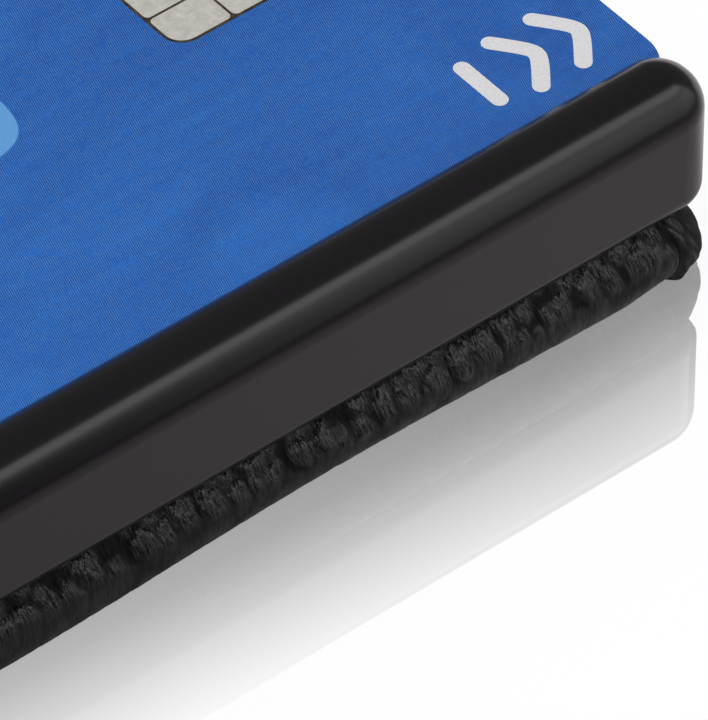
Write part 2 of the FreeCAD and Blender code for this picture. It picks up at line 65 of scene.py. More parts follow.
MM = 0.001


def cad(node):
    """A CAD node's lowest and highest corners, in millimetres."""
    low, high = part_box(node)
    return np.array(low) / MM, np.array(high) / MM


# ---- materials


def srgb(levels):
    """A colour given in screen levels, 0 to 255, as linear light."""
    return tuple(((v / 255 + 0.055) / 1.055) ** 2.4 if v > 10 else v / 255 / 12.92 for v in levels)


class Tree:
    """Short names for the nodes added to a node tree.  Each gives the new node's output."""

    def __init__(self, tree):
        self.tree = tree

    def feed(self, node, socket, value):
        target = node.inputs[socket]
        if isinstance(value, bpy.types.NodeSocket):
            self.tree.links.new(value, target)
        elif hasattr(value, "__len__") and target.type == "RGBA":
            target.default_value = (*value, 1)[:4]
        else:
            target.default_value = value

    def node(self, kind, output=0, settings=(), **inputs):
        """Inputs go by name, with _ for a space, or by number as i0, i1 and so on."""
        made = self.tree.nodes.new("ShaderNode" + kind)
        for name, value in dict(settings).items():
            setattr(made, name, value)
        for name, value in inputs.items():
            self.feed(made, int(name[1:]) if name[1:].isdigit() else name.replace("_", " "), value)
        return made.outputs[output]

    def calc(self, operation, *values):
        inputs = {f"i{n}": value for n, value in enumerate(values)}
        return self.node("Math", 0, {"operation": operation}, **inputs)

    def times(self, *values):
        return reduce(partial(self.calc, "MULTIPLY"), values)

    def plus(self, *values):
        return reduce(partial(self.calc, "ADD"), values)

    def apart(self, value, middle):
        """How far a value is from a middle one, either way."""
        return self.calc("ABSOLUTE", self.calc("SUBTRACT", value, middle))

    def vector(self, operation, output=0, **inputs):
        return self.node("VectorMath", output, {"operation": operation}, **inputs)

    def rays(self, *kinds):
        return [self.node("LightPath", f"Is {kind} Ray") for kind in kinds]

    def range(self, value, low, high, to_low=0, to_high=1, smooth=False):
        ends = {"From_Min": low, "From_Max": high, "To_Min": to_low, "To_Max": to_high}
        settings = {"interpolation_type": "SMOOTHSTEP" if smooth else "LINEAR"}
        return self.node("MapRange", 0, settings, Value=value, **ends)


class Paint(Tree):
    """A Principled material.  Its patterns are in millimetres, in the piece's own frame."""

    def __init__(self, name, specular=0.5, **sockets):
        self.material = bpy.data.materials.new(name)
        self.material.use_nodes = True
        super().__init__(self.material.node_tree)
        self.set(Specular_IOR_Level=specular, **sockets)
        metres = self.node("TexCoord", output="Object")
        self.place = self.node("Mapping", Vector=metres, Scale=(1 / MM,) * 3)

    def set(self, **sockets):
        for socket, value in sockets.items():
            self.feed(self.tree.nodes["Principled BSDF"], socket.replace("_", " "), value)

    def finish(self, colour, roughness, normal):
        self.set(Base_Color=colour, Roughness=roughness, Normal=normal)
        return self.material

    def noise(self, scale, detail=3, rough=0.5, stretch=None, turn=0, warp=0):
        place = self.place
        if stretch:
            turned = (0, 0, turn)
            place = self.node("Mapping", Vector=place, Scale=stretch, Rotation=turned)
        inputs = {"Detail": detail, "Roughness": rough, "Distortion": warp}
        return self.node("TexNoise", Vector=place, Scale=scale, **inputs)

    def even(self, noise, to_low=0, to_high=1):
        """Noise spread over a whole range: nearly all of it lies between 0.3 and 0.7."""
        return self.range(noise, 0.3, 0.7, to_low, to_high)

    def cells(self, scale, place=None, feature="DISTANCE_TO_EDGE"):
        place = place or self.place
        return self.node("TexVoronoi", 0, {"feature": feature}, Vector=place, Scale=scale)

    def along(self, *direction):
        """How far the place lies along a direction, in millimetres."""
        return self.vector("DOT_PRODUCT", "Value", i0=self.place, i1=direction)

    def waves(self, length, *direction):
        """-1 to 1, in waves of a length along a direction."""
        return self.calc("SINE", self.times(self.along(*direction), 2 * math.pi / length))

    def mix(self, share, one, other):
        """A colour between one and other, each a socket, screen levels or linear light."""
        one, other = (srgb(c) if isinstance(c, tuple) and max(c) > 1 else c for c in (one, other))
        return self.node("Mix", 2, {"data_type": "RGBA"}, i0=share, i6=one, i7=other)

    def bump(self, height, depth, normal=None, strength=1):
        under = {"Normal": normal} if normal else {}
        return self.node("Bump", Height=height, Distance=depth * MM, Strength=strength, **under)


def leather_paint():
    """Black pebbled leather.  The mesh carries how high each place of its grain lies, with
    painted shade in its pleats and gathered corners, and how taut the leather is there, which
    makes it smoother.  Its colour is painted light and shade: lighter on the crests as painted
    highlight, nearly black in the creases as painted shade, and lighter towards the free end."""
    p = Paint("pebbled_leather", 0.42)
    height, taut = (p.node("Attribute", "Fac", {"attribute_name": k}) for k in ("grain", "taut"))
    folds = p.noise(1.5, 1, 0.5, (1, 0.55, 0.4), warp=0.5)
    streaks = p.noise(5, 2, 0.55, (1, 0.32, 0.22), warp=0.3)
    # Painted highlight and shade: crests are coloured lighter and creases nearly black.
    raised = p.calc("POWER", p.range(height, 0.2, 0.85), 1.7)
    # Painted light: the leather is darker towards the spine and lighter towards the free end.
    painted_light_towards_end = p.range(p.calc("ABSOLUTE", p.along(1, 0, 0)), 55, 92, 0.6, 1.15)
    tone_and_painted_light = p.times(raised, painted_light_towards_end, p.range(streaks, 0.38, 0.62, 0.25, 1.6))
    colour = p.mix(tone_and_painted_light, (2, 2, 3), (50, 48, 50))
    rough = p.plus(
        p.range(height, 0.24, 0.72, 0.8, 0.13, smooth=True),
        p.range(streaks, 0.35, 0.65, 0.05, -0.05),
        p.range(taut, 0.2, 1, 0, 0.18),
    )
    loose = p.range(taut, 0, 1, 1, 0.06)
    relief = p.bump(folds, 0.12, strength=loose)
    relief = p.bump(streaks, 0.2, relief, loose)
    relief = p.bump(p.noise(9, 2), 0.006, relief)
    return p.finish(colour, rough, relief)


def smooth_leather_paint():
    """The note pocket's leather: fine tight grain."""
    p = Paint("fine_leather", 0.5)
    stray = p.node("TexNoise", "Color", Vector=p.place, Scale=1.4)
    grain = p.cells(2.6, p.vector("ADD", i0=p.place, i1=stray))
    colour = p.mix(p.even(p.noise(0.25, 4, 0.6)), (25, 24, 25), (38, 36, 37))
    rough = p.even(p.noise(1.2, 4), 0.42, 0.56)
    relief = p.bump(p.range(grain, 0, 0.18, smooth=True), 0.035)
    relief = p.bump(p.noise(11, 4, 0.6), 0.014, relief)
    return p.finish(colour, rough, relief)


def woven_paint():
    """Lining: a fine plain weave with uneven threads."""
    p = Paint("woven_lining", 0.25, Sheen_Weight=0.25, Sheen_Roughness=0.5)
    pitch = 0.52
    over = p.times(p.waves(pitch, 1, 0, 0), p.waves(pitch, 0, 1, 0))
    thread_x, thread_y = (
        p.calc("ABSOLUTE", p.calc("COSINE", p.times(p.along(*way), math.pi / pitch)))
        for way in ((1, 0, 0), (0, 1, 0))
    )
    chosen = p.range(over, -0.3, 0.3)
    other = p.calc("SUBTRACT", 1, chosen)
    height = p.plus(p.times(thread_x, chosen), p.times(thread_y, other))
    slub = p.noise(1.6, 4, 0.6, (0.15, 1, 1))
    shade = p.times(p.range(height, 0, 1, 0.55, 1.15), p.even(slub, 0.85, 1.12))
    colour = p.mix(shade, (14, 14, 15), (48, 48, 51))
    return p.finish(colour, 0.82, p.bump(height, 0.07))


def moulded_paint(name, dark, light, roughness, depth, scale, **sockets):
    """Moulded plastic: faint flow marks, a fine tool texture and a few handling marks."""
    p = Paint(name, 0.5, **sockets)
    flow = p.noise(0.05, 3, 0.5, (0.3, 1, 1))
    texture = p.noise(scale, 3, 0.6)
    scuffs = p.noise(5, 4, 0.7, (0.12, 1.4, 1.4), 0.3)
    rough = p.plus(
        p.even(texture, -0.015, 0.015), p.range(scuffs, 0.58, 0.75, roughness, roughness + 0.06)
    )
    pits = p.range(p.cells(0.9, feature="F1"), 0, 0.09, smooth=True)
    relief = p.bump(pits, depth * 1.6, p.bump(texture, depth))
    return p.finish(p.mix(p.even(flow), dark, light), rough, relief)


def steel_paint(name, colour, roughness, stretch=(0.06, 3, 3)):
    """Plated or rolled steel, drawn along one direction and a little stained."""
    p = Paint(name, Metallic=1)
    lines = p.noise(4, 5, 0.65, stretch)
    stain = p.range(p.noise(0.35, 4, 0.6), 0.55, 0.75, 0, 0.35)
    darker, stained = (tuple(c * part for c in colour) for part in (0.8, 0.55))
    shade = p.mix(stain, p.mix(p.even(lines), darker, colour), stained)
    rough = p.even(lines, roughness - 0.07, roughness + 0.09)
    return p.finish(shade, rough, p.bump(lines, 0.006))


def board_paint(name, dark, light, scale):
    """Pressed fibres or closed foam, with flecks."""
    p = Paint(name, 0.2)
    fibres = p.noise(scale, 6, 0.7, warp=1.2)
    flecks = p.range(p.cells(scale * 0.6), 0, 0.2, 0.6, 1)
    colour = p.mix(p.times(p.range(fibres, 0.25, 0.75), flecks), dark, light)
    return p.finish(colour, 0.85, p.bump(fibres, 0.05))


def thread_paint():
    """Twisted sewing thread with a little fuzz."""
    p = Paint("thread", 0.35, Sheen_Weight=0.2, Sheen_Roughness=0.4)
    twist = p.waves(0.22, 0.8, 0.8, 0.6)
    colour = p.mix(p.range(twist, -1, 1), (26, 25, 27), (58, 56, 60))
    relief = p.bump(p.noise(14, 3), 0.01, p.bump(twist, 0.03))
    return p.finish(colour, 0.6, relief)


# The card's plain artwork: where two rounded squares lie, half their width, and their blue.
SQUARES = (
    (59.6, -2.4, 6.9, (100, 164, 224)),
    (42, -12, 3.6, (84, 146, 212)),
)


def card_face_paint():
    """The card's printed face: blue under a fine ruled line screen, with long soft streaks."""
    p = Paint("card_face", 0.4)
    patchy = p.range(p.noise(1.5, 3, 0.7, warp=0.5), 0.34, 0.62, 0.3, 1)
    screen = p.times(p.waves(0.122, 0.959, -0.284, 0), patchy)
    streaks = p.noise(0.9, 5, 0.65, (0.16, 1.5, 1), 0.12)
    clouds = p.noise(0.045, 3, 0.5, (0.6, 1, 1))
    bend = p.even(p.noise(0.05, 2), -5, 5)
    tremble = p.even(p.noise(0.25, 3), -1.2, 1.2)
    waves = p.calc("SINE", p.plus(p.along(0.16, 0.62, 0), bend, tremble))
    waves = p.times(waves, p.range(p.noise(0.07, 2), 0.4, 0.6, 0.15, 1), 0.1)
    level = p.plus(
        p.even(streaks, -0.1, 0.1),
        p.even(clouds, 0.4, 0.6),
        p.even(p.noise(7, 2), -0.16, 0.16),
        waves,
        p.range(p.along(1, 0.5, 0), 30, 90, 0.2, -0.06),
    )
    colour = p.mix(level, (0, 56, 147), (36, 120, 215))
    colour = p.mix(p.range(screen, -1, 0, 0.8, 0), colour, (0, 34, 104))
    colour = p.mix(p.range(screen, 0, 1, 0, 0.36), colour, (134, 186, 242))
    for x, y, half, blue in SQUARES:
        sides = (p.apart(p.along(1, 0, 0), x), p.apart(p.along(0, 1, 0), y))
        reach = p.calc("POWER", p.plus(*(p.calc("POWER", side, 5) for side in sides)), 0.2)
        colour = p.mix(p.range(reach, half - 0.08, half, 1, 0), colour, blue)
    rough = p.even(p.noise(2.2, 5, 0.7), 0.36, 0.46)
    relief = p.bump(screen, 0.003, p.bump(p.noise(0.9, 3), 0.01))
    return p.finish(colour, rough, relief)


def card_back_paint():
    """The card's underside: a dark magnetic stripe and a pale signing strip, left blank."""
    p = Paint("card_back", 0.4)

    def inside(place, middle, half):
        return p.range(p.apart(place, middle), half, half + 0.2, 1, 0)

    across = p.along(0, 1, 0)
    ground = p.mix(p.even(p.noise(0.08, 3)), (46, 92, 160), (58, 112, 184))
    ground = p.mix(inside(across, 16.5, 6.2), ground, (24, 23, 24))
    strip = p.times(inside(across, -1, 4.4), inside(p.along(1, 0, 0), 50, 31))
    hatch = p.range(p.calc("SINE", p.times(p.along(0.7, 0.7, 0), 5)), 0.6, 1)
    ground = p.mix(strip, ground, p.mix(hatch, (226, 226, 220), (206, 212, 216)))
    return p.finish(ground, 0.42, p.bump(p.noise(3, 3), 0.004))


def worn_paint(name, noise, high, dark, light, roughness, depth, fine=None):
    """One noise gives the colour, between two, and the bump unless a finer one does."""
    p = Paint(name, 0.4)
    wear = p.noise(*noise)
    colour = p.mix(p.range(wear, 0.35, high), dark, light)
    return p.finish(colour, roughness, p.bump(p.noise(*fine) if fine else wear, depth))


def contact_paint():
    """The chip's plated contacts, rubbed dull and a little stained by use."""
    p = Paint("worn_contacts", Metallic=0.25)
    rubbed = p.noise(1.6, 6, 0.7, warp=0.6)
    scratches = p.noise(3, 5, 0.75, (0.25, 2.4, 1), 0.5)
    share = p.times(p.range(rubbed, 0.3, 0.68, 0.45, 1), p.range(scratches, 0.32, 0.6, 0.8, 1))
    colour = p.mix(share, (172, 168, 156), (236, 233, 226))
    rough = p.even(scratches, 0.46, 0.34)
    return p.finish(colour, rough, p.bump(scratches, 0.006))


PLAIN = (1, 1, 1)  # steel that isn't drawn along a direction
RAIL_SHEEN = {"Sheen_Weight": 0.05, "Sheen_Roughness": 0.25}
LAYERS, WEAR = (1.5, 4, 0.6, (0.1, 0.1, 9)), (6, 5, 0.7)  # noise of the card's edge and print
MOULD, GRAIN = (2.5, 4), (9, 3)  # and of the chip's dark base
paint = {
    "leather": leather_paint(),
    "pocket": smooth_leather_paint(),
    "woven": woven_paint(),
    "thread": thread_paint(),
    "rail": moulded_paint(
        "satin_plastic", (17, 14, 17), (21, 18, 21), 0.21, 0.0011, 9, **RAIL_SHEEN
    ),
    "cage": moulded_paint("textured_plastic", (24, 24, 25), (31, 31, 32), 0.46, 0.012, 5),
    "plate": moulded_paint("plate_plastic", (38, 38, 40), (47, 47, 49), 0.38, 0.006, 6),
    "screw": steel_paint("zinc_screw", (0.55, 0.55, 0.56), 0.3, PLAIN),
    "rivet": steel_paint("nickel_rivet", (0.52, 0.51, 0.5), 0.26, PLAIN),
    "spring": steel_paint("spring_strip", (0.58, 0.57, 0.55), 0.28),
    "foam": board_paint("closed_cell_foam", (52, 52, 54), (74, 74, 77), 5),
    "board": board_paint("fibre_board", (150, 132, 104), (196, 178, 148), 2.2),
    "face": card_face_paint(),
    "edge": worn_paint("card_edge", LAYERS, 0.65, (188, 194, 205), (224, 228, 233), 0.5, 0.008),
    "back": card_back_paint(),
    "ink": worn_paint("white_print", WEAR, 0.75, (236, 234, 236), (214, 214, 219), 0.42, 0.004),
    "contact": contact_paint(),
    "resin": worn_paint("chip_resin", MOULD, 0.7, (44, 38, 33), (82, 74, 60), 0.5, 0.006, GRAIN),
}


# ---- mesh helpers


def ease(value, low, high):
    """0 to 1, smoothly, as a value goes from low to high."""
    t = np.clip((np.asarray(value, float) - low) / (high - low), 0, 1)
    return t * t * (3 - 2 * t)


def bell(value, middle, width):
    return np.exp(-(((value - middle) / width) ** 2))


def chance(u, v, seed):
    """A fixed number from 0 to 1 for each whole (u, v)."""
    return np.modf(np.abs(np.sin(u * 127.1 + v * 311.7 + seed * 74.7) * 43758.5453))[0]


def lumps(u, v, seed):
    """Smooth noise from -1 to 1."""
    iu, iv = np.floor(u), np.floor(v)
    fu, fv = ease(u - iu, 0, 1), ease(v - iv, 0, 1)
    low = chance(iu, iv, seed) * (1 - fu) + chance(iu + 1, iv, seed) * fu
    high = chance(iu, iv + 1, seed) * (1 - fu) + chance(iu + 1, iv + 1, seed) * fu
    return 2 * (low * (1 - fv) + high * fv) - 1


def cells(u, v, seed):
    """Distances from (u, v) to the nearest and the next of scattered points, and a number
    from 0 to 1 that belongs to the nearest."""
    iu, iv = np.floor(u), np.floor(v)
    nearest = np.full(np.shape(u), 9.0)
    second, number = nearest.copy(), np.zeros(np.shape(u))
    for du in (-1, 0, 1):
        for dv in (-1, 0, 1):
            cu, cv = iu + du, iv + dv
            own = chance(cu, cv, seed)
            other = chance(cu, cv, seed + 11)
            away = np.hypot(u - cu - 0.08 - 0.84 * own, v - cv - 0.08 - 0.84 * other)
            closer = away < nearest
            second = np.where(closer, nearest, np.minimum(second, away))
            number = np.where(closer, own, number)
            nearest = np.minimum(nearest, away)
    return nearest, second, number


def grain(u, v):
    """Pebbled grain at a place on the flat leather: 0 in a crease, about 1 on a pebble."""
    wu, wv = (
        at + 0.26 * lumps(u * 0.8, v * 0.8, seed) + 0.13 * lumps(u * 3.1, v * 1.6, seed + 1)
        for at, seed in ((u, 1), (v, 3))
    )
    nearest, second, number = cells(wu / 1.55, wv / 2.5, 5)
    edge = ease(second - nearest, 0, 0.3)
    dome = np.sqrt(np.clip(1 - (nearest / 0.72) ** 2, 0, 1))
    pebble = (0.7 * dome + 0.3 * edge) * (0.78 + 0.22 * number)
    ridges = (1 - np.abs(lumps(wu * 3.4, wv * 0.8, 12))) ** 2
    return pebble * (0.74 + 0.26 * ridges)


def link(name, data):
    made = bpy.data.objects.new(name, data)
    bpy.context.scene.collection.objects.link(made)
    return made


def new_mesh(name, points, faces, materials):
    """A mesh from points in millimetres.  Faces are lists of point numbers."""
    mesh = bpy.data.meshes.new(name)
    mesh.from_pydata((np.asarray(points, float) * MM).tolist(), [], faces)
    for material in materials:
        mesh.materials.append(material)
    return mesh


def settle(name, mesh, bm, sharp):
    """An object of an edited mesh, smooth but for edges sharper than an angle in degrees."""
    bmesh.ops.recalc_face_normals(bm, faces=bm.faces)
    bm.to_mesh(mesh)
    bm.free()
    for polygon in mesh.polygons:
        polygon.use_smooth = True
    mesh.set_sharp_from_angle(angle=math.radians(sharp))
    return link(name, mesh)


def mesh_object(name, points, faces, material, sharp, attributes=(), weld=0):
    """An object from points in millimetres; welded points also close the holes between parts."""
    mesh = new_mesh(name, points, faces, [material])
    for key, values in dict(attributes).items():
        layer = mesh.attributes.new(key, "FLOAT", "POINT")
        layer.data.foreach_set("value", np.asarray(values, np.float32).ravel())
    bm = bmesh.new()
    bm.from_mesh(mesh)
    if weld:
        bmesh.ops.remove_doubles(bm, verts=bm.verts, dist=weld * MM)
        bmesh.ops.edgeloop_fill(bm, edges=[e for e in bm.edges if e.is_boundary])
    return settle(name, mesh, bm, sharp)


def grid_faces(rows, columns, start=0):
    """Quads of a grid of points numbered row by row."""
    n = start + np.arange(rows * columns).reshape(rows, columns)
    quads = np.stack([n[:-1, :-1], n[:-1, 1:], n[1:, 1:], n[1:, :-1]], -1)
    return quads.reshape(-1, 4).tolist()


def tube_faces(rings, sides, start=0):
    """Quads round a tube whose points are numbered ring by ring, and its two ends."""
    faces = []
    for first in range(start, start + (rings - 1) * sides, sides):
        for j in range(sides):
            a, b = first + j, first + (j + 1) % sides
            faces.append((a, b, b + sides, a + sides))
    last = start + (rings - 1) * sides
    ends = [list(range(start + sides - 1, start - 1, -1)), list(range(last, last + sides))]
    return faces + ends


def spaced(*stops):
    """Numbers from the first place to the last; between two places a step size is given."""
    found = [stops[0]]
    for step, end in zip(stops[1::2], stops[2::2]):
        count = max(2, int(round(abs(end - found[-1]) / step)) + 1)
        found += list(np.linspace(found[-1], end, count)[1:])
    return np.array(found)


def fillet(radius, steps):
    """Pairs (distance in from an edge, depth below the top) of a quarter round."""
    turn = np.linspace(0, math.pi / 2, steps + 1)[::-1]
    return [(radius * (1 - math.sin(a)), radius * (1 - math.cos(a))) for a in turn]


# ---- covers and spine

leather_low, leather_high = cad("back_cover_leather")
spine_high = cad("spine_leather")[1]
lining_low, lining_high = cad("back_cover_lining")
cloth_low, cloth_high = cad("spine_lining")
board_high = cad("back_cover_board")[1]
COVER_X0, COVER_X1 = leather_low[0], leather_high[0]
COVER_Y, COVER_Z = leather_high[1], leather_high[2]
SPINE_X, SPINE_Z = spine_high[0], spine_high[2]
TURN_IN = COVER_X1 - lining_high[0]  # the border turned in round the lining
BORDER_X = lining_low[0] + 0.2  # where that border ends beside the crease
CORE_IN = COVER_X1 - board_high[0]  # the cover's edge to its stiffener
CORNER = 4.5  # the edge is made outwards from a path this far in, and round its corners
SHOULDER = 1.4  # how far the cover's edge rounds down into the crease
EDGE_SLACK = 0.05  # how far the plain edge stays inside the CAD's

# The profile of the cover's edge.  Where it is plain, its rounding above and below goes by
# the cover's height there; where it is gathered, it is fuller and stands further out.
TOP_ROUND, LOW_ROUND, LOW_RISE = 0.44, 0.64, 0.56
FULL_OUT, FULL_TOP, FULL_RISE, FULL_LOW, FULL_FALL = 0.26, 4.4, 3.7, 1.8, 1.3

# Pleats round a free corner: angle from the side in radians, depth, and width in radians.
PLEAT = 0.29
PLEATS = ((PLEAT, 0.42, 0.04), (0.7, 0.05, 0.05), (1.05, 0.05, 0.04), (1.4, 0.4, 0.06))


def cover_level(x):
    """Height of the leather's top at x from the spine's middle: low there, full on the cover."""
    t = np.clip((x - COVER_X0) / SHOULDER, 0, 1)
    return SPINE_Z + (COVER_Z - SPINE_Z) * np.sqrt(t * (2 - t))


def window(x):
    """1 where the lining shows, 0 on the turned-in border beside the crease."""
    inner = 1 - ease(x, SPINE_X - 0.45, SPINE_X - 0.3)
    return inner + ease(x, lining_low[0] - 0.1, lining_low[0] + 0.05)


def window_depth(x):
    """How far below the leather's top the lining's bed lies."""
    deep, thin = COVER_Z - lining_low[2], SPINE_Z - cloth_low[2]
    return window(x) * np.where(x > COVER_X0, deep, thin)


def pleat_angle(angle, share):
    """Where a pleat runs at a share of the cover's height: it leans at the bottom."""
    return angle + 0.05 * np.clip(1 - share / 0.5, 0, 1)


def leather_skin(name, side, step, knotted):
    """A cover's leather and half the spine's in one piece, from the floor round the edges to the
    border turned in on top.  It steps down to the spine's height beside the crease."""
    inner_x, inner_y = COVER_X1 - CORNER, COVER_Y - CORNER
    xs = spaced(0, 0.35, 7.2, 0.15, 9.8, 0.2, BORDER_X, step, inner_x)
    ys = spaced(-inner_y, step, 3 - inner_y, step * 3.4, inner_y - 3, step * 2, inner_y)
    quarter = np.linspace(0, math.pi / 2, 46)[1:-1]

    # The path round the edge: near side, corner, free end, corner, far side.
    def path(*parts):
        legs = (xs, quarter, ys, quarter, xs)
        return np.concatenate([np.broadcast_to(p, len(leg)) for p, leg in zip(parts, legs)])

    path_x = path(xs, inner_x, inner_x, inner_x, xs[::-1])
    path_y = path(-inner_y, -inner_y, ys, inner_y, inner_y)
    heading = path(0, quarter, math.pi / 2, math.pi / 2 + quarter, math.pi)
    out_x, out_y = np.sin(heading), -np.cos(heading)
    level = cover_level(path_x)
    depth = window_depth(path_x)
    plain = 1 - window(path_x)

    # Round each free corner the leather is gathered: fuller and smoother, with pleats pressed in.
    bend = np.where(heading > math.pi / 2, math.pi - heading, heading)
    on_arc = path_x >= inner_x - 1e-6
    at_end = np.isclose(heading, math.pi / 2)
    straight_end = np.where(at_end, ease(inner_y - np.abs(path_y), 0, 2.4), 0)

    def gathered(share):
        into = bend - pleat_angle(PLEAT, share)
        leaving = ease(bend, 0.85, 1.35) * (1 - ease(share, 0.1, 0.5))
        filling = 0.45 + 0.55 * ease(into, 0, 0.5)
        begun = ease(into, -0.06, 0.06)
        return begun * filling * on_arc * (1 - straight_end) * (1 - 0.8 * leaving)

    # The profile across the edge, row by row: distance in, height, direction out and up, and
    # how deep the grain is.
    rows = []

    def row(inset, height, out, up, amount):
        rows.append(np.broadcast_arrays(inset, height, out, up, amount, level)[:5])

    def edge_row(turn, top):
        """One row of the rounded edge, between the plain profile and the gathered one."""
        s, c = math.sin(turn), math.cos(turn)
        if top:
            round_in = TOP_ROUND * level
            plain_in, plain_z = round_in * (1 - s), level - round_in * (1 - c)
            full_in, full_z = FULL_TOP * (1 - s) - FULL_OUT, level - FULL_RISE * (1 - c)
            units = [(s, c), (s / FULL_TOP, c / FULL_RISE)]
            amount = 0.05 + 0.5 * ease(turn, 0.1, 0.6) - 0.46 * ease(turn, 0.9, 1.4)
        else:
            round_in, rise = LOW_ROUND * level, LOW_RISE * level
            plain_in, plain_z = round_in * (1 - c), rise * (1 - s)
            full_in, full_z = FULL_LOW * (1 - c) - FULL_OUT, FULL_FALL * (1 - s)
            units = [(c / round_in, -s / rise), (c / FULL_LOW, -s / FULL_FALL)]
            amount = 0.05
        w = gathered(np.clip(plain_z / COVER_Z, 0, 1))
        full_in = full_in - 0.13 * bell(full_z, 1.5, 1)
        inset, height = plain_in * (1 - w) + full_in * w, plain_z * (1 - w) + full_z * w
        one, other = (np.array(unit) / np.hypot(*unit) for unit in units)
        out, up = (one[k] * (1 - w) + other[k] * w for k in (0, 1))
        size = np.hypot(out, up)
        row(inset, height, out / size, up / size, amount)

    row(CORNER, level - depth, 0, 1, 0)
    for further, sunk in ((0.25, 1), (0.08, 0.96), (0, 0.4), (-0.1, 0.08)):
        row(TURN_IN + further, level - depth * sunk, 0, 1, 0.1 * plain)
    row(TURN_IN - 0.3, level, 0, 1, 0.06)
    row(TURN_IN - 0.5, level, 0, 1, 0.12)
    for turn in np.linspace(0, math.pi / 2, 18)[:-1]:
        edge_row(turn, True)
    for turn in np.linspace(0, math.pi / 2, 27):
        edge_row(turn, False)
    foot_in = rows[-1][0]
    for share in (0.25, 0.5, 0.75, 1):
        row(foot_in + (CORNER - foot_in) * share, 0, 0, -1, 0.05)
    inset, height, out, up, amount = (np.stack(c) for c in zip(*rows))
    lifted = ease(bend, 0.39, 0.52) * (1 - ease(bend, 0.75, 1.05))
    lifted = lifted * on_arc * np.clip(1 - height / 1.5, 0, 1)
    height = height + 1.05 * lifted * np.clip((CORNER - inset) / 1.5, 0, 1)

    # Outwards from the path, and the same distances with the leather laid flat for its grain.
    reach = CORNER - EDGE_SLACK - inset
    reach[[0, -1]] = 0
    run = np.hypot(np.diff(inset, axis=0), np.diff(height, axis=0))
    flat = np.zeros_like(inset)
    flat[:-1] = np.cumsum(run[::-1], axis=0)[::-1]
    flat_x, flat_y = path_x + out_x * flat, path_y + out_y * flat
    pattern = grain(side * flat_x, flat_y)
    share = np.clip(height / np.maximum(level, 0.1), 0, 1)
    tight = gathered(share)
    bulge = amount * (1 - 0.8 * tight) * (pattern - 1)
    on_edge = (inset < 3.4) & (np.arange(len(inset))[:, None] > 6)

    # Pleats, the gathers beside the first one, the low edge's slow swell, and the knot.
    # How deep the pleats run, which darkens them as painted shade.
    pleat_shade = np.zeros_like(bulge)
    pressed = ease(share, 0, 0.12) * (1 - 0.7 * ease(share, 0.7, 0.9))
    for angle, deep, wide in PLEATS:
        groove = bell(bend, pleat_angle(angle, share), wide)
        pleat_shade = np.maximum(pleat_shade, groove * (deep / 0.5))
        bulge = bulge - deep * groove * pressed * on_arc * on_edge
    gathers = lumps(bend * 34 + height * 0.5, height * 0.35, 8)
    gathers = gathers + 0.6 * lumps(bend * 70, height * 0.6, 9)
    near_pleat = on_arc * bell(bend, pleat_angle(PLEAT, share), 0.22) * on_edge
    bulge = bulge + 0.03 * gathers * near_pleat
    swell = -0.2 * np.cos(2 * math.pi * (path_x - 70) / 46)
    swell = swell * (1 - ease(path_x, inner_x - 3, inner_x))
    swell = swell * ease(path_x, 14, 26) * np.abs(np.cos(heading))
    bulge = bulge + swell * (1 - ease(share, 0.25, 0.7)) * on_edge
    if knotted:
        knot = bell(bend, 0.37, 0.085) * bell(height, 0.6, 0.55)
        bulge = bulge + 0.3 * knot * (path_y < 0) * on_arc * on_edge
    bulge[0] = 0
    bulge[-1] = np.minimum(bulge[-1], 0)

    # The leather stays over the stiffener inside it.
    beside = (height < board_high[2] + 0.3) & (height > 0.9) & on_edge
    least = (CORNER - CORE_IN + 0.14 - reach) / np.maximum(out, 0.2)
    bulge = np.where(beside, np.maximum(bulge, least), bulge)
    over = (inset > CORE_IN - 0.2) & on_edge & (height > board_high[2])
    least = (board_high[2] + 0.16 - height) / np.maximum(up, 0.2)
    bulge = np.where(over, np.maximum(bulge, least), bulge)
    bulge = np.where(beside | over, np.minimum(bulge, 0.45), bulge)
    away = reach + bulge * out
    edge_z = np.maximum(height + bulge * up, 0)
    edge = np.stack([side * (path_x + out_x * away), path_y + out_y * away, edge_z], -1)

    # What the material reads: the grain's height, with painted shade, and how taut the leather is.
    # Painted shade: the grain is darkened in the pleats.
    shade = np.where(amount > 0.01, pattern * (1 - np.clip(pleat_shade, 0, 0.9) * on_arc), 0.6)
    hem = 0.1 * lumps(flat_x * 0.55, 0.5, 31) + 0.05 * lumps(flat_x * 1.6, flat_y * 0.8, 32)
    taut = (1 - ease(share + hem, 0.6, 0.84)) * (1 - tight) + 0.4 * tight
    drawn = ease(taut, 0.3, 0.9) * on_edge
    # Taut leather evens out the grain's tone; the gathered corners are darkened as painted shade.
    shade = (shade * (1 - drawn) + (0.38 + 0.16 * shade) * drawn) * (1 - 0.5 * tight)

    # The bottom, and the top between the lining and the spine.
    under_x, under_y = np.meshgrid(xs, ys, indexing="ij")
    under_grain = 0.3 + 0.62 * grain(side * under_x, under_y)
    under_z = np.maximum(-0.07 * (under_grain - 1), 0)
    under = np.stack([side * under_x, under_y, under_z], -1)
    top_xs, top_ys = xs[xs <= BORDER_X + 1e-6], spaced(-inner_y, 0.25, inner_y)
    top_x, top_y = np.meshgrid(top_xs, top_ys, indexing="ij")
    fade = ease(inner_y - np.abs(top_y), 0, 0.6)
    top_grain = grain(side * top_x + 40, top_y)
    pebbles = 0.12 * fade * (1 - window(top_x)) * (top_grain - 1)
    top = np.stack([side * top_x, top_y, cover_level(top_x) - window_depth(top_x) + pebbles], -1)

